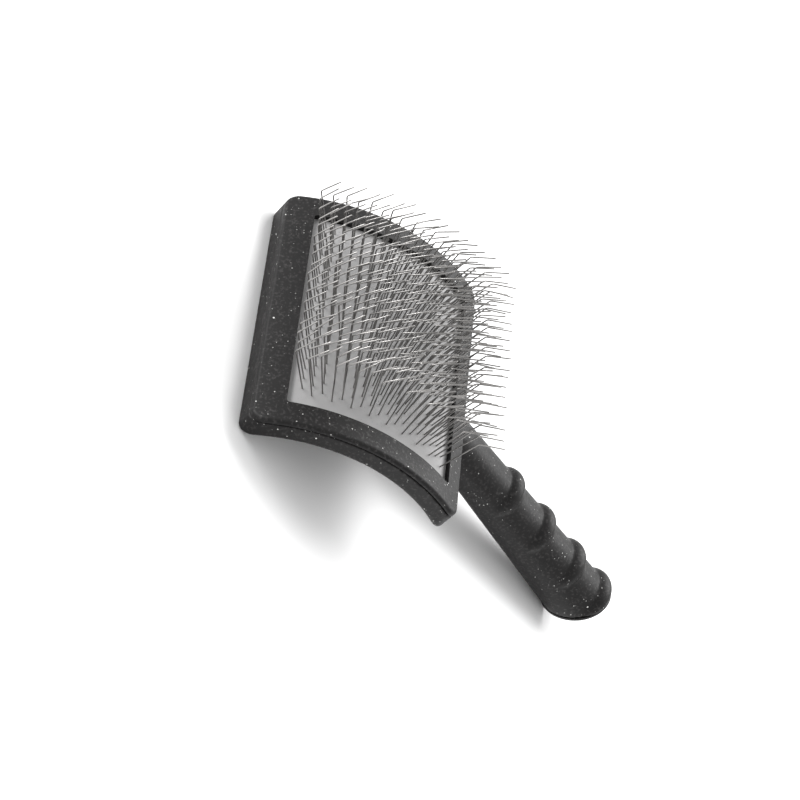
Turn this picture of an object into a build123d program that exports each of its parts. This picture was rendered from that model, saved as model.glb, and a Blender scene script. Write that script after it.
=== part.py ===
"""Slicker brush: an arched rectangular head set with bent steel wires, on a ribbed handle.

The brush lies on its back. +X runs across the head, +Y from the head to the butt, +Z is up.
The origin is on the surface it rests on, under the middle of its box.
"""
from build123d import *
import os
from math import cos, radians, sin, sqrt

os.makedirs("parts", exist_ok=True)

# how the brush lies: tilt of the head, and the axis of the head's arc
rest_tilt = 20.5
arc_y, arc_z = -39.3, -35.1

# head: a block between two arcs about one axis, with walls square to its middle
head_width = 110.0
head_length = 86.0
face_radius = 76.5
head_thickness = 9.8
corner_radius = 5.0
wall = 2.4
floor = 2.0
back_edge_round = 1.6

# frame round the wires, with its parting groove against the shell
frame_plate = 2.35
opening_width = 91.0
opening_length = 68.8
opening_shift = 1.0
opening_corner = 1.0
frame_rim = 1.8
frame_edge_round = 1.5
opening_edge_round = 0.3
groove_width = 0.5
groove_depth = 0.8
skirt = 1.6
skirt_depth = 6.2
skirt_gap = 0.1

# snap beads that hold the frame in the shell
bead_length = 9.0
bead_height = 1.2
bead_proud = 0.45
bead_depth = 4.6
bead_gap = 0.15
side_bead_spacing = 24.0
end_bead_spacing = 32.0

# layers of the pad, from the outside in
pad_gap = 0.25
pad_corner = 0.8
skin_gap = 0.05
skin_thickness = 0.8
cloth_thickness = 1.4
crown_room = 0.85
foam_gap = 0.1

# wires: rows of staples, each with two legs bent at the knee
wire = 0.55
row_count = 18
row_pitch = 2.8
first_row = -22.2
staples_per_row = 9
leg_pitch = 4.64
wires_shift = -1.7
leg_length = 19.0
tip_length = 9.1
lean = 15.7
knee = 54.8
knee_radius = 1.2
crown_radius = 0.45
crown_gap = 0.2
hole_gap = 0.02

# handle: elliptical, its axis a fixed distance from the axis of the head's arc,
# with stations measured along it from the end of the head
handle_drop = 25.3
handle_reach = 59.5
head_end = 11.8
top_at_head, top_slope = 9.05, 0.0143
under_at_head, under_slope = 8.05, 0.052
side_at_head, side_slope = 9.8, 0.027
handle_start = -4.0
handle_wall = 3.0
bore_start = 14.0
butt_station = 121.3
butt_rake = 25.2
past_butt = 22.0

# finger ribs on the side of the wires
rib_starts = [46.3, 71.3, 96.3, 118.3]
rib_length = 10.2
rib_height = 3.1
rib_crest = 4.0
rib_axis_rise = 1.6
rib_root = 1.0

# swell under the head that carries the handle into the arch:
# station, height above the axis, depth below it, half-width
neck_sections = [
    (6.0, 8.0, 8.36, 9.96),
    (-6.0, 7.0, 7.75, 10.6),
    (-20.0, 5.5, 5.6, 12.2),
    (-33.0, 4.0, 2.0, 13.5),
    (-43.0, 1.5, -0.6, 13.0),
]

# cap that closes the butt
cap_half_width = 13.1
cap_half_height = 14.5
cap_rise = -1.2
cap_groove = 0.25
cap_groove_depth = 0.6
cap_thickness = 2.2
cap_edge_round = 1.5
plug_wall = 1.6
plug_gap = 0.8
plug_depth = 7.0

# radii of the layers about the axis of the arc
back_radius = face_radius - head_thickness
floor_radius = back_radius + floor
frame_underside = face_radius - frame_plate
groove_top = face_radius - frame_rim
rim_radius = groove_top - groove_width
skirt_radius = face_radius - skirt_depth
bead_radius = face_radius - bead_depth
skin_radius = frame_underside - skin_gap
cloth_radius = skin_radius - skin_thickness
cloth_underside = cloth_radius - cloth_thickness
foam_radius = cloth_underside - crown_room
foam_underside = floor_radius + foam_gap

# outlines seen along the head's middle
inner_width, inner_length = head_width - 2 * wall, head_length - 2 * wall
skirt_width, skirt_length = inner_width - 2 * skirt_gap, inner_length - 2 * skirt_gap
pad_inset = 2 * (skirt + pad_gap)
pad_width, pad_length = skirt_width - pad_inset, skirt_length - pad_inset


def toward(angle):
    """Unit vector in the YZ plane, at an angle in degrees from +Y towards +Z."""
    return Vector(0, cos(radians(angle)), sin(radians(angle)))


arc_centre = Vector(0, arc_y, arc_z)
handle_axis = toward(rest_tilt - handle_drop)
handle_up = toward(rest_tilt - handle_drop + 90)
handle_origin = arc_centre + handle_up * handle_reach + handle_axis * head_end

# side: x towards the handle, y out of the wires. plan: looks down on the wires
side = Plane(origin=arc_centre, x_dir=toward(rest_tilt), z_dir=(1, 0, 0))
plan = Plane(origin=arc_centre, x_dir=(1, 0, 0), z_dir=toward(rest_tilt + 90))
handle_side = Plane(origin=handle_origin, x_dir=handle_axis, z_dir=(1, 0, 0))
handle_section = Plane(origin=handle_origin, x_dir=(-1, 0, 0), z_dir=handle_axis)
butt = Plane(
    origin=handle_origin + handle_axis * butt_station,
    x_dir=(-1, 0, 0),
    z_dir=toward(rest_tilt - handle_drop - butt_rake),
)


def arched_layer(width, length, corner, inner, outer):
    """A rounded rectangle seen along the head's middle, between two radii of the arc."""
    with BuildPart() as layer:
        with BuildSketch(plan):
            RectangleRounded(width, length, corner)
        extrude(amount=2 * face_radius)
        with BuildSketch(side):
            Circle(outer)
            Circle(inner, mode=Mode.SUBTRACT)
        extrude(amount=head_width, both=True, mode=Mode.INTERSECT)
    return layer.part


def handle_size(station):
    """Height above the axis, depth below it and half-width of the handle."""
    return (
        top_at_head + top_slope * station,
        under_at_head + under_slope * station,
        side_at_head + side_slope * station,
    )


def bead(x, y, wide, long, gap):
    """One snap bead, centred on the outside of the frame's skirt."""
    height = sqrt(bead_radius**2 - y**2) - bead_height / 2 - gap
    with BuildPart() as block:
        with BuildSketch(plan.offset(height)):
            with Locations((x, y)):
                Rectangle(wide + 2 * gap, long + 2 * gap)
        extrude(amount=bead_height + 2 * gap)
    return block.part


def beads(gap):
    """All the snap beads, grown by a gap where they are the slots in the shell."""
    thick = 2 * bead_proud
    return [
        bead(edge * skirt_width / 2, place * side_bead_spacing, thick, bead_length, gap)
        for edge in (-1, 1)
        for place in (-1, 0, 1)
    ] + [
        bead(place * end_bead_spacing, edge * skirt_length / 2, bead_length, thick, gap)
        for edge in (-1, 1)
        for place in (-1, 0, 1)
    ]


with BuildPart() as finger_ribs:
    for start in rib_starts:
        top = handle_size(start)[0]
        root, end = top - rib_root, start + rib_length
        with BuildSketch(handle_side):
            with BuildLine():
                Spline(
                    (start, root),
                    (start + rib_crest, top + rib_height),
                    (end, root),
                    tangents=[(0.35, 1), (0.6, -1)],
                )
                Polyline(
                    (end, root), (end, rib_axis_rise), (start, rib_axis_rise), (start, root)
                )
            make_face()
        revolve(axis=Axis(handle_side.from_local_coords((0, rib_axis_rise, 0)), handle_axis))

# outer form of the handle, running on past its butt
with BuildPart() as handle_form:
    for station in (handle_start, butt_station + past_butt):
        top, under, half_width = handle_size(station)
        with BuildSketch(handle_section.offset(station)):
            with Locations((0, (top - under) / 2)):
                Ellipse(half_width, (top + under) / 2)
    loft()
    add(finger_ribs.part)

with BuildPart() as handle_bore:
    for station in (bore_start, butt_station + past_butt):
        top, under, half_width = handle_size(station)
        with BuildSketch(handle_section.offset(station)):
            with Locations((0, (top - under) / 2)):
                Ellipse(half_width - handle_wall, (top + under) / 2 - handle_wall)
    loft()

with BuildPart() as neck:
    for station, top, under, half_width in neck_sections:
        with BuildSketch(handle_section.offset(station)):
            with Locations((0, (top - under) / 2)):
                Ellipse(half_width, (top + under) / 2)
    loft()

head_block = arched_layer(head_width, head_length, corner_radius, back_radius, rim_radius)
pocket = arched_layer(
    inner_width, inner_length, corner_radius - wall, floor_radius, 2 * face_radius
)
opening = arched_layer(
    opening_width, opening_length, opening_corner, skirt_radius, 2 * face_radius
)

with BuildPart() as back_shell:
    add(head_block)
    back_face = back_shell.faces().filter_by(GeomType.CYLINDER).filter_by(
        lambda face: abs(face.radius - back_radius) < 0.01
    )
    fillet(back_face.edges(), radius=back_edge_round)
    add(handle_form.part)
    add(neck.part)
    split(bisect_by=butt, keep=Keep.BOTTOM)
    add(pocket, mode=Mode.SUBTRACT)
    add(handle_bore.part, mode=Mode.SUBTRACT)
    add(beads(bead_gap), mode=Mode.SUBTRACT)
    split(bisect_by=Plane.XY, keep=Keep.TOP)
back_shell.part.label = "back_shell"
export_step(back_shell.part, "parts/back_shell.step")

with BuildPart() as handle_cap:
    with BuildSketch(butt.offset(cap_groove)):
        with Locations((0, cap_rise)):
            Ellipse(cap_half_width, cap_half_height)
    extrude(amount=cap_thickness)
    fillet(handle_cap.edges().sort_by(Axis(butt.origin, butt.z_dir))[-1], cap_edge_round)
    with BuildSketch(butt):
        with Locations((0, cap_rise)):
            Ellipse(cap_half_width - cap_groove_depth, cap_half_height - cap_groove_depth)
    extrude(amount=cap_groove)
    top, under, half_width = handle_size(butt_station)
    rake = cos(radians(butt_rake))
    plug_width = half_width - handle_wall - plug_gap
    plug_height = ((top + under) / 2 - handle_wall) / rake - plug_gap
    with BuildSketch(butt):
        with Locations((0, (top - under) / 2 / rake)):
            Ellipse(plug_width, plug_height)
            Ellipse(plug_width - plug_wall, plug_height - plug_wall, mode=Mode.SUBTRACT)
    extrude(amount=plug_depth, dir=-handle_axis)
    split(bisect_by=Plane.XY, keep=Keep.TOP)
handle_cap.part.label = "handle_cap"
export_step(handle_cap.part, "parts/handle_cap.step")

with BuildPart() as front_frame:
    add(arched_layer(head_width, head_length, corner_radius, groove_top, face_radius))
    front_face = front_frame.faces().filter_by(GeomType.CYLINDER).filter_by(
        lambda face: abs(face.radius - face_radius) < 0.01
    )
    fillet(front_face.edges(), radius=frame_edge_round)
    add(
        arched_layer(
            head_width - 2 * groove_depth,
            head_length - 2 * groove_depth,
            corner_radius - groove_depth,
            rim_radius,
            groove_top,
        )
    )
    skirt_corner = corner_radius - wall - skirt_gap
    add(arched_layer(skirt_width, skirt_length, skirt_corner, skirt_radius, groove_top))
    add(
        arched_layer(
            skirt_width - 2 * skirt,
            skirt_length - 2 * skirt,
            skirt_corner - skirt,
            floor_radius,
            frame_underside,
        ),
        mode=Mode.SUBTRACT,
    )
    with BuildSketch(plan):
        with Locations((0, opening_shift)):
            RectangleRounded(opening_width, opening_length, opening_corner)
    extrude(amount=2 * face_radius, mode=Mode.SUBTRACT)
    add(beads(0))
front_frame.part.label = "front_frame"
export_step(front_frame.part, "parts/front_frame.step")


def wire_row(number):
    """Directions and place of one row: out of the pad, along a leg, along a tip, the surface."""
    row_angle = rest_tilt + 90 - (first_row + row_pitch * number)
    out = toward(row_angle)
    along_leg = toward(row_angle + lean)
    along_tip = toward(row_angle + lean - knee)
    return along_leg, along_tip, arc_centre + out * skin_radius


def leg_places(number):
    """X of every leg in a row. Neighbouring rows are half a pitch apart."""
    legs = 2 * staples_per_row
    shift = wires_shift + (leg_pitch / 4 if number % 2 else -leg_pitch / 4)
    return [(leg - (legs - 1) / 2) * leg_pitch + shift for leg in range(legs)]


# height of a leg between the skin's surface and the middle of its crown
crown_depth = (skin_radius - cloth_underside + wire / 2 + crown_gap) / cos(radians(lean))

for number in range(row_count):
    along_leg, along_tip, surface = wire_row(number)
    across = Vector(1, 0, 0)
    foot = surface - along_leg * crown_depth
    bend = surface + along_leg * leg_length
    tip = bend + along_tip * tip_length
    with BuildPart() as staples:
        places = leg_places(number)
        for left, right in zip(places[0::2], places[1::2]):
            with BuildLine() as path:
                FilletPolyline(
                    [tip + across * left, bend + across * left, foot + across * left]
                    + [foot + across * right, bend + across * right, tip + across * right],
                    radius=[knee_radius, crown_radius, crown_radius, knee_radius],
                )
            with BuildSketch(Plane(origin=path.line @ 0, z_dir=path.line % 0)):
                Circle(wire / 2)
            sweep()
    name = f"wire_row_{number + 1:02d}"
    staples.part.label = name
    export_step(staples.part, f"parts/{name}.step")

for name, inner, outer in (
    ("pad_skin", cloth_radius, skin_radius),
    ("pad_cloth", cloth_underside, cloth_radius),
):
    with BuildPart() as layer:
        add(arched_layer(pad_width, pad_length, pad_corner, inner, outer))
        for number in range(row_count):
            along_leg, along_tip, surface = wire_row(number)
            with BuildSketch(Plane(origin=surface, x_dir=(1, 0, 0), z_dir=along_leg)):
                with Locations([(x, 0) for x in leg_places(number)]):
                    Circle(wire / 2 + hole_gap)
            extrude(amount=2 * crown_depth, both=True, mode=Mode.SUBTRACT)
    layer.part.label = name
    export_step(layer.part, f"parts/{name}.step")

with BuildPart() as pad_foam:
    add(arched_layer(pad_width, pad_length, pad_corner, foam_underside, foam_radius))
pad_foam.part.label = "pad_foam"
export_step(pad_foam.part, "parts/pad_foam.step")
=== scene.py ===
"""Slicker brush: moulded plastic body, rubber-faced pad, sprung steel wires, studio and camera."""
import random
from math import asin, cos, degrees, exp, radians, sin, tan

import bmesh
import bpy
from mathutils import Matrix, Vector


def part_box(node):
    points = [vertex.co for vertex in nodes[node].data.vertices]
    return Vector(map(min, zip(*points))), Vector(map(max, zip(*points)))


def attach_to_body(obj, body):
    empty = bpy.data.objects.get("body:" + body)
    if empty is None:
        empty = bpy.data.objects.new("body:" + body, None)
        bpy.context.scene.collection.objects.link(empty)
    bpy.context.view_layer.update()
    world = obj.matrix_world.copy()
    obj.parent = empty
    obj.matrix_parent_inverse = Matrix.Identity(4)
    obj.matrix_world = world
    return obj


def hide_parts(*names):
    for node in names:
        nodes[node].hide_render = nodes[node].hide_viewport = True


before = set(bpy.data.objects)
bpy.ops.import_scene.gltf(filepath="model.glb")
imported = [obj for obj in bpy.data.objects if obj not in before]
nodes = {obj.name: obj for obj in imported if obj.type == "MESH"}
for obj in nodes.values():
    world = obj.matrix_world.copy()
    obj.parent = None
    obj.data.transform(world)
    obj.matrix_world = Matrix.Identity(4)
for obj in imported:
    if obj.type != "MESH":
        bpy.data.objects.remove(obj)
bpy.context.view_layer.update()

MM = 0.001
scene = bpy.context.scene

# how the head lies, and the arc that its layers follow, as in the model
REST_TILT = 20.5
ARC_CENTRE = Vector((0, -39.3, -35.1)) * MM
SKIN_RADIUS = 74.1 * MM
SKIN_THICKNESS = 0.8 * MM
CLOTH_THICKNESS = 1.4 * MM
FOAM_DEPTH = 3.05 * MM
FOAM_THICKNESS = 2.25 * MM
PAD_WIDTH, PAD_LENGTH = 101.3 * MM, 77.3 * MM

# wires, as in the model
WIRE_RADIUS = 0.275 * MM
ROWS, ROW_PITCH, FIRST_ROW = 18, 2.8, -22.2
LEGS_PER_ROW, LEG_PITCH, WIRES_SHIFT = 18, 4.64 * MM, -1.7 * MM
LEG_LENGTH, TIP_LENGTH = 19.0 * MM, 9.1 * MM
LEAN, KNEE = 15.7, 54.8
KNEE_RADIUS, CROWN_RADIUS, PIERCE_RADIUS = 1.2 * MM, 0.45 * MM, 3.0 * MM
CROWN_GAP = 0.2 * MM
CROWN_DEPTH = (SKIN_THICKNESS + CLOTH_THICKNESS + WIRE_RADIUS + CROWN_GAP) / cos(radians(LEAN))

# ground end of a wire: its length and its width at the tip, as parts of the radius
END_LENGTH, END_TAPER = 0.6, 0.55

# how far a wire strays: leg and tip in degrees, lengths and sideways in metres
LEG_STRAY, TIP_STRAY = 1.3, 2.6
LEG_LENGTH_STRAY, TIP_LENGTH_STRAY = 0.12 * MM, 0.15 * MM
KNEE_SIDEWAYS, TIP_SIDEWAYS = 0.5 * MM, 0.6 * MM
FIRST_SEED = 1000

# shell
VOXEL = 0.5 * MM
EASE_ROUNDS, HANDLE_ROUNDS = 2, 8
HANDLE_GAP, HANDLE_FADE = 4 * MM, 12 * MM

# rubber round each wire: a raised ring and a dip, with their widths squared, in mm
RING_HEIGHT, RING_WIDTH = 0.20, 0.75
DIP_DEPTH, DIP_WIDTH = 0.42, 0.16
RING_REACH = 1.6 * MM
FACING_STEP, LAYER_STEP = 0.42 * MM, 2.5 * MM

# studio, in metres and watts
FLOOR_REACH = 6.0
WORLD_STRENGTH = 0.85
LIGHTS_AIM = Vector((0, -0.02, 0.03))
KEY_PLACE, KEY_SIZE, KEY_POWER = (-0.75, 0.5, 1.1), (1.4, 1.0), 30
FILL_PLACE, FILL_SIZE, FILL_POWER = (-0.35, -1.2, 0.18), (0.6, 0.35), 12
CAMERA_PLACE = (0.5759, -0.5532, 0.4437)
CAMERA_BACK = Vector((0.6516, -0.5866, 0.4811))
CAMERA_RIGHT = Vector((-0.0842, 0.5743, 0.8143))
CAMERA_LENS, SENSOR_WIDTH = 107.4, 36

ACROSS = Vector((1, 0, 0))


def toward(angle):
    """Unit vector in the YZ plane, at an angle in degrees from +Y towards +Z."""
    return Vector((0, cos(radians(angle)), sin(radians(angle))))


def new_object(name, data):
    obj = bpy.data.objects.new(name, data)
    scene.collection.objects.link(obj)
    return obj


def smooth_object(name, mesh, material):
    """An object from a bmesh, shaded smooth, with one material."""
    data = bpy.data.meshes.new(name)
    mesh.to_mesh(data)
    mesh.free()
    for face in data.polygons:
        face.use_smooth = True
    data.materials.append(material)
    return new_object(name, data)


def attach(obj, body, node):
    """The object rides on the body and stands for the node, which it hides."""
    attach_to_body(obj, body)
    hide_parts(node)


# ---------------------------------------------------------------- materials
class Finish:
    """A procedural material, with short calls for the nodes used here."""

    def __init__(self, name):
        self.material = bpy.data.materials.new(name)
        self.material.use_nodes = True
        self.tree = self.material.node_tree
        self.tree.nodes.clear()
        output = self.tree.nodes.new("ShaderNodeOutputMaterial")
        self.shader = self.tree.nodes.new("ShaderNodeBsdfPrincipled")
        self.link(self.shader.outputs[0], output.inputs["Surface"])
        self.place = self.tree.nodes.new("ShaderNodeTexCoord").outputs["Object"]

    def link(self, source, target):
        self.tree.links.new(source, target)

    def give(self, **sockets):
        """Links node outputs to the shader's sockets, named with _ for a space."""
        for name, source in sockets.items():
            self.link(source, self.shader.inputs[name.replace("_", " ")])

    def noise(self, scale, detail=2.0, rough=0.5):
        node = self.tree.nodes.new("ShaderNodeTexNoise")
        node.inputs["Scale"].default_value = scale
        node.inputs["Detail"].default_value = detail
        node.inputs["Roughness"].default_value = rough
        self.link(self.place, node.inputs["Vector"])
        return node.outputs["Fac"]

    def cells(self, scale):
        node = self.tree.nodes.new("ShaderNodeTexVoronoi")
        node.inputs["Scale"].default_value = scale
        self.link(self.place, node.inputs["Vector"])
        return node.outputs["Distance"], node.outputs["Color"]

    def threads(self, axis, scale, distortion):
        node = self.tree.nodes.new("ShaderNodeTexWave")
        node.bands_direction = axis
        node.inputs["Scale"].default_value = scale
        node.inputs["Distortion"].default_value = distortion
        self.link(self.place, node.inputs["Vector"])
        return node.outputs["Fac"]

    def math(self, kind, a, b):
        node = self.tree.nodes.new("ShaderNodeMath")
        node.operation = kind
        for socket, value in zip(node.inputs, (a, b)):
            if isinstance(value, (int, float)):
                socket.default_value = value
            else:
                self.link(value, socket)
        return node.outputs[0]

    def ramp(self, value, low, high, out_low=0.0, out_high=1.0):
        node = self.tree.nodes.new("ShaderNodeMapRange")
        node.inputs["From Min"].default_value = low
        node.inputs["From Max"].default_value = high
        node.inputs["To Min"].default_value = out_low
        node.inputs["To Max"].default_value = out_high
        self.link(value, node.inputs["Value"])
        return node.outputs["Result"]

    def mix(self, factor, a, b):
        node = self.tree.nodes.new("ShaderNodeMix")
        node.data_type = "RGBA"
        self.link(factor, node.inputs["Factor"])
        for name, value in (("A", a), ("B", b)):
            if isinstance(value, tuple):
                node.inputs[name].default_value = (*value, 1)
            else:
                self.link(value, node.inputs[name])
        return node.outputs["Result"]

    def bump(self, height, strength, distance):
        node = self.tree.nodes.new("ShaderNodeBump")
        node.inputs["Strength"].default_value = strength
        node.inputs["Distance"].default_value = distance
        self.link(height, node.inputs["Height"])
        return node.outputs["Normal"]

    def flecks(self, scale, share, size):
        """Round flecks of mixed size, in a share of the cells, and a random shade for each."""
        distance, colour = self.cells(scale)
        split = self.tree.nodes.new("ShaderNodeSeparateColor")
        self.link(colour, split.inputs[0])
        pick, shade = split.outputs[0], split.outputs[1]
        radius = self.ramp(pick, 1 - share, 1.0, 0.25 * size, size)
        chosen = self.math("GREATER_THAN", pick, 1 - share)
        inside = self.math("LESS_THAN", distance, radius)
        return self.math("MULTIPLY", chosen, inside), shade


def body_plastic():
    """Charcoal moulded plastic: fine texture, mottled tone and silver flecks."""
    m = Finish("body_plastic")
    fine = m.noise(2600, 4, 0.6)
    grain = m.noise(900, 3, 0.55)
    tone = m.ramp(m.noise(38, 3), 0.3, 0.7)
    colour = m.mix(tone, (0.0052, 0.0048, 0.0048), (0.0085, 0.0079, 0.0079))
    colour = m.mix(m.ramp(grain, 0.52, 0.70), colour, (0.034, 0.032, 0.032))
    small, shade = m.flecks(820, 0.26, 0.21)
    colour = m.mix(small, colour, m.mix(shade, (0.16, 0.16, 0.155), (0.60, 0.60, 0.58)))
    large, shade = m.flecks(380, 0.12, 0.15)
    colour = m.mix(large, colour, m.mix(shade, (0.32, 0.32, 0.31), (0.80, 0.80, 0.78)))
    fleck = m.math("MAXIMUM", small, large)
    rough = m.ramp(fine, 0.3, 0.7, 0.44, 0.58)
    rough = m.math("SUBTRACT", rough, m.math("MULTIPLY", fleck, 0.18))
    texture = m.math("ADD", fine, m.math("MULTIPLY", grain, 0.8))
    m.give(
        Base_Color=colour,
        Roughness=rough,
        Metallic=m.math("MULTIPLY", fleck, 0.7),
        Normal=m.bump(texture, 0.55, 0.06 * MM),
    )
    m.shader.inputs["Specular IOR Level"].default_value = 0.23
    return m.material


def pad_rubber():
    """Matt grey rubber, a little cloudy, with darker specks."""
    m = Finish("pad_rubber")
    fine = m.noise(3200, 3)
    cloud = m.ramp(m.noise(55, 4), 0.3, 0.7)
    colour = m.mix(cloud, (0.275, 0.272, 0.272), (0.32, 0.317, 0.317))
    colour = m.mix(m.ramp(m.noise(1500, 2), 0.66, 0.74), colour, (0.22, 0.22, 0.222))
    m.give(
        Base_Color=colour,
        Roughness=m.ramp(fine, 0.3, 0.7, 0.52, 0.68),
        Normal=m.bump(fine, 0.4, 0.04 * MM),
    )
    return m.material


def pad_cloth():
    """Plain-woven cotton."""
    m = Finish("pad_cloth")
    weave = m.math("MAXIMUM", m.threads("X", 330, 0.6), m.threads("Y", 330, 0.6))
    m.give(
        Base_Color=m.mix(weave, (0.20, 0.18, 0.15), (0.42, 0.39, 0.33)),
        Roughness=m.ramp(m.noise(900), 0.3, 0.7, 0.8, 0.95),
        Normal=m.bump(weave, 0.6, 0.1 * MM),
    )
    return m.material


def pad_foam():
    """Closed-cell foam."""
    m = Finish("pad_foam")
    cell = m.cells(1500)[0]
    m.give(
        Base_Color=m.mix(m.ramp(cell, 0.1, 0.6), (0.22, 0.22, 0.23), (0.30, 0.30, 0.31)),
        Roughness=m.ramp(m.noise(700), 0.3, 0.7, 0.85, 0.95),
        Normal=m.bump(cell, 0.8, 0.2 * MM),
    )
    return m.material


def wire_steel():
    """Drawn steel, uneven in tone."""
    m = Finish("wire_steel")
    fine = m.noise(4200, 3, 0.6)
    tone = m.ramp(m.noise(120, 2), 0.3, 0.7)
    colour = m.mix(tone, (0.22, 0.215, 0.21), (0.38, 0.37, 0.36))
    colour = m.mix(m.ramp(fine, 0.55, 0.75), colour, (0.15, 0.145, 0.14))
    m.give(
        Base_Color=colour,
        Roughness=m.ramp(fine, 0.3, 0.7, 0.26, 0.44),
        Normal=m.bump(fine, 0.3, 0.02 * MM),
    )
    m.shader.inputs["Metallic"].default_value = 1.0
    return m.material


PLASTIC, STEEL = body_plastic(), wire_steel()


# ---------------------------------------------------------------- body
def bake(obj):
    """Applies the object's modifiers to its mesh."""
    depsgraph = bpy.context.evaluated_depsgraph_get()
    data = bpy.data.meshes.new_from_object(
        obj.evaluated_get(depsgraph), preserve_all_data_layers=True, depsgraph=depsgraph
    )
    obj.modifiers.clear()
    obj.data = data


def add_smooth(obj, rounds, group=""):
    smooth = obj.modifiers.new("smooth", "SMOOTH")
    smooth.factor = 0.5
    smooth.iterations = rounds
    smooth.vertex_group = group


def build_shell():
    """The moulded shell: edges eased all over, and soft roots where ribs meet handle."""
    data = nodes["back_shell"].data.copy()
    data.materials.clear()
    data.materials.append(PLASTIC)
    obj = new_object("moulded_shell", data)
    ease = obj.modifiers.new("ease", "REMESH")
    ease.mode = "VOXEL"
    ease.voxel_size = VOXEL
    ease.use_smooth_shade = True
    bake(obj)
    handle = obj.vertex_groups.new(name="handle")
    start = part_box("front_frame")[1][1] + HANDLE_GAP
    for vertex in obj.data.vertices:
        share = (vertex.co.y - start) / HANDLE_FADE
        if share > 0:
            handle.add([vertex.index], min(1.0, share), "REPLACE")
    add_smooth(obj, EASE_ROUNDS)
    add_smooth(obj, HANDLE_ROUNDS, "handle")
    bake(obj)
    attach(obj, "brush_body", "back_shell")


for name in ("front_frame", "handle_cap"):
    nodes[name].data.materials.clear()
    nodes[name].data.materials.append(PLASTIC)
build_shell()


# ---------------------------------------------------------------- wires
def rounded_path(points, radii, steps=5):
    """The polyline with each inner corner rounded to its radius."""
    path = [points[0]]
    for before, corner, after, radius in zip(points, points[1:], points[2:], radii):
        to_before = (before - corner).normalized()
        to_after = (after - corner).normalized()
        half = to_before.angle(to_after) / 2
        centre = corner + (to_before + to_after).normalized() * radius / sin(half)
        start = corner + to_before * radius / tan(half)
        end = corner + to_after * radius / tan(half)
        first, last = (start - centre).normalized(), (end - centre).normalized()
        path += [centre + first.slerp(last, step / steps) * radius for step in range(steps + 1)]
    path.append(points[-1])
    return path


def add_tube(mesh, path, radius, sides=8):
    """A tube along the path, with its ends ground round."""
    round_end = radius * END_LENGTH
    first, last = (path[1] - path[0]).normalized(), (path[-1] - path[-2]).normalized()
    path = [path[0] + first * round_end, *path[1:-1], path[-1] - last * round_end]
    steps = [(b - a).normalized() for a, b in zip(path, path[1:])]
    headings = [steps[0], *((a + b).normalized() for a, b in zip(steps, steps[1:])), steps[-1]]
    side = first.orthogonal().normalized()
    rings = []
    for point, along in zip(path, headings):
        side = (side - along * side.dot(along)).normalized()
        other = along.cross(side)
        turns = (radians(360 * k / sides) for k in range(sides))
        ring = [point + (side * cos(turn) + other * sin(turn)) * radius for turn in turns]
        rings.append([mesh.verts.new(place) for place in ring])
    tips = []
    for ring, point, outward in ((rings[0], path[0], -first), (rings[-1], path[-1], last)):
        top = point + outward * round_end
        tips.append([mesh.verts.new(top + (vertex.co - point) * END_TAPER) for vertex in ring])
    rings = [tips[0], *rings, tips[1]]
    for ring, following in zip(rings, rings[1:]):
        for k in range(sides):
            after = (k + 1) % sides
            mesh.faces.new((ring[k], ring[after], following[after], following[k]))
    mesh.faces.new(rings[0][::-1])
    mesh.faces.new(rings[-1])


def leg_places(number):
    """X of every leg in a row. Neighbouring rows are half a pitch apart."""
    shift = WIRES_SHIFT + (LEG_PITCH / 4 if number % 2 else -LEG_PITCH / 4)
    return [(leg - (LEGS_PER_ROW - 1) / 2) * LEG_PITCH + shift for leg in range(LEGS_PER_ROW)]


def row_angle(number):
    return REST_TILT + 90 - (FIRST_ROW + ROW_PITCH * number)


def build_wire_row(number):
    """One row of staples. Each leg and tip strays a little, as sprung wires do."""
    stray = random.Random(FIRST_SEED + number)
    angle = row_angle(number)
    surface = ARC_CENTRE + toward(angle) * SKIN_RADIUS
    legs = leg_places(number)
    radii = [KNEE_RADIUS, PIERCE_RADIUS, CROWN_RADIUS, CROWN_RADIUS, PIERCE_RADIUS, KNEE_RADIUS]
    mesh = bmesh.new()
    for pair in zip(legs[0::2], legs[1::2]):
        sides = []
        for x in pair:
            along_leg = toward(angle + LEAN + stray.gauss(0, LEG_STRAY))
            along_tip = toward(angle + LEAN - KNEE + stray.gauss(0, TIP_STRAY))
            pierce = surface + ACROSS * x
            foot = pierce - toward(angle + LEAN) * CROWN_DEPTH
            length = LEG_LENGTH + stray.gauss(0, LEG_LENGTH_STRAY)
            bend = pierce + along_leg * length + ACROSS * stray.gauss(0, KNEE_SIDEWAYS)
            length = TIP_LENGTH + stray.gauss(0, TIP_LENGTH_STRAY)
            end = bend + along_tip * length + ACROSS * stray.gauss(0, TIP_SIDEWAYS)
            sides.append([end, bend, pierce, foot])
        points = sides[0] + sides[1][::-1]
        add_tube(mesh, rounded_path(points, radii), WIRE_RADIUS)
    node = f"wire_row_{number + 1:02d}"
    obj = smooth_object("sprung_" + node, mesh, STEEL)
    attach(obj, f"row_{number + 1:02d}", node)


for row in range(ROWS):
    build_wire_row(row)


# ---------------------------------------------------------------- pad
LEGS_BY_ROW = [leg_places(number) for number in range(ROWS)]


def pucker(x, turn):
    """Height of the rubber: it rises in a ring round each wire and dips at the wire."""
    lift = 0.0
    for number in range(ROWS):
        away = radians(turn - row_angle(number)) * SKIN_RADIUS
        if abs(away) > RING_REACH:
            continue
        sideways = min(abs(leg - x) for leg in LEGS_BY_ROW[number])
        gap = (away**2 + sideways**2) / MM**2
        lift += RING_HEIGHT * exp(-gap / RING_WIDTH) - DIP_DEPTH * exp(-gap / DIP_WIDTH)
    return lift * MM


def flat(x, turn):
    return 0.0


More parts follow.
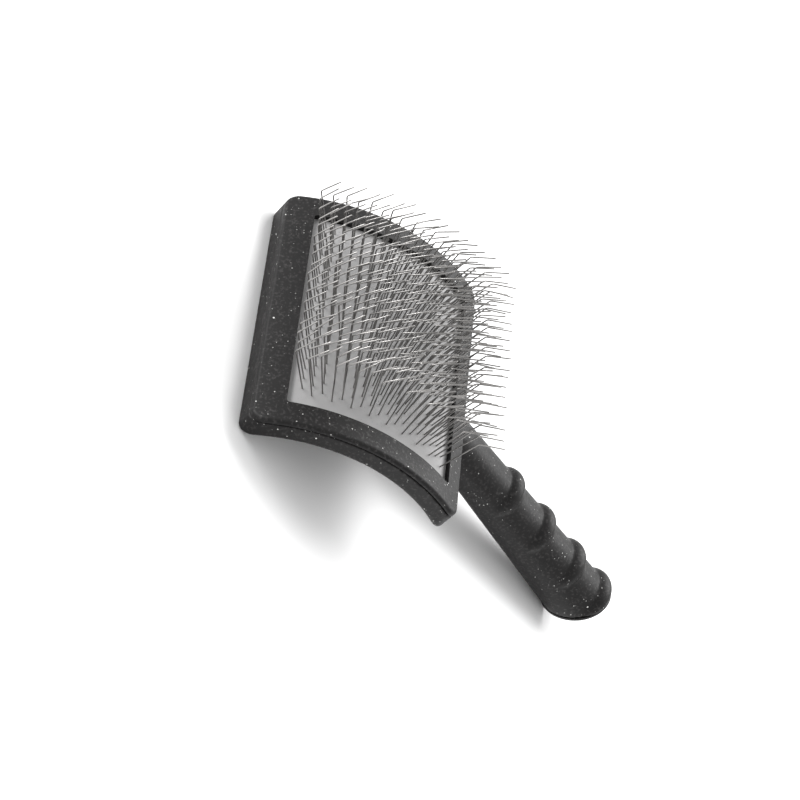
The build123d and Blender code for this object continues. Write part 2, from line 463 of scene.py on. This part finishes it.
def even_steps(length, step):
    """Places from end to end of a length about the middle, in steps of about the size given."""
    count = round(length / step)
    return [length * (k / count - 0.5) for k in range(count + 1)]


def build_layer(name, outer, thickness, step, material, height=flat):
    """A closed layer of the pad, bent to the arc. height raises its outer face."""
    columns, lines = even_steps(PAD_WIDTH, step), even_steps(PAD_LENGTH, step)
    mesh = bmesh.new()
    grids = []
    for radius, rise in ((outer, height), (outer - thickness, flat)):
        grid = []
        for along in lines:
            turn = REST_TILT + 90 - degrees(asin(along / radius))
            row = []
            for x in columns:
                place = ARC_CENTRE + toward(turn) * (radius + rise(x, turn)) + ACROSS * x
                row.append(mesh.verts.new(place))
            grid.append(row)
        grids.append(grid)
    top, under = grids
    for grid in grids:
        for low, high in zip(grid, grid[1:]):
            for corners in zip(low, low[1:], high[1:], high):
                mesh.faces.new(corners)
    rims = [(top[0], under[0]), (top[-1], under[-1])]
    rims += [([row[k] for row in top], [row[k] for row in under]) for k in (0, -1)]
    for upper, lower in rims:
        for corners in zip(upper, lower, lower[1:], upper[1:]):
            mesh.faces.new(corners)
    bmesh.ops.recalc_face_normals(mesh, faces=mesh.faces)
    return smooth_object(name, mesh, material)


facing = build_layer("pad_facing", SKIN_RADIUS, SKIN_THICKNESS, FACING_STEP, pad_rubber(), pucker)
attach(facing, "brush_body", "pad_skin")
cloth_radius = SKIN_RADIUS - SKIN_THICKNESS
backing = build_layer("pad_backing", cloth_radius, CLOTH_THICKNESS, LAYER_STEP, pad_cloth())
attach(backing, "brush_body", "pad_cloth")
foam_radius = SKIN_RADIUS - FOAM_DEPTH
cushion = build_layer("pad_cushion", foam_radius, FOAM_THICKNESS, LAYER_STEP, pad_foam())
attach(cushion, "brush_body", "pad_foam")


# ---------------------------------------------------------------- studio
def build_floor():
    """A plain pale floor."""
    mesh = bmesh.new()
    corners = ((-1, -1), (1, -1), (1, 1), (-1, 1))
    mesh.faces.new([mesh.verts.new((x * FLOOR_REACH, y * FLOOR_REACH, 0)) for x, y in corners])
    m = Finish("studio_floor")
    m.shader.inputs["Base Color"].default_value = (0.92, 0.92, 0.92, 1)
    m.shader.inputs["Roughness"].default_value = 0.9
    smooth_object("studio_floor", mesh, m.material)


def soft_light(name, place, size, power):
    """A large rectangular light aimed at the middle of the brush."""
    data = bpy.data.lights.new(name, "AREA")
    data.shape = "RECTANGLE"
    data.size, data.size_y = size
    data.energy = power
    obj = new_object(name, data)
    obj.location = place
    aim = LIGHTS_AIM - Vector(place)
    obj.rotation_euler = aim.to_track_quat("-Z", "Y").to_euler()


def build_world():
    """Even white light from all round."""
    world = bpy.data.worlds.new("studio")
    world.use_nodes = True
    background = world.node_tree.nodes["Background"]
    background.inputs["Color"].default_value = (1, 1, 1, 1)
    background.inputs["Strength"].default_value = WORLD_STRENGTH
    scene.world = world
    scene.view_settings.view_transform = "Standard"


def build_camera():
    """Looks down on the wires, rolled so that the handle falls to the right."""
    data = bpy.data.cameras.new("camera")
    data.lens = CAMERA_LENS
    data.sensor_width = SENSOR_WIDTH
    data.clip_start = 0.01
    back = CAMERA_BACK.normalized()
    up = back.cross(CAMERA_RIGHT).normalized()
    right = up.cross(back)
    turn = Matrix((right, up, back)).transposed().to_4x4()
    camera = new_object("camera", data)
    camera.matrix_world = Matrix.Translation(CAMERA_PLACE) @ turn
    scene.camera = camera


build_floor()
build_world()
soft_light("key_light", KEY_PLACE, KEY_SIZE, KEY_POWER)
soft_light("fill_light", FILL_PLACE, FILL_SIZE, FILL_POWER)
build_camera()
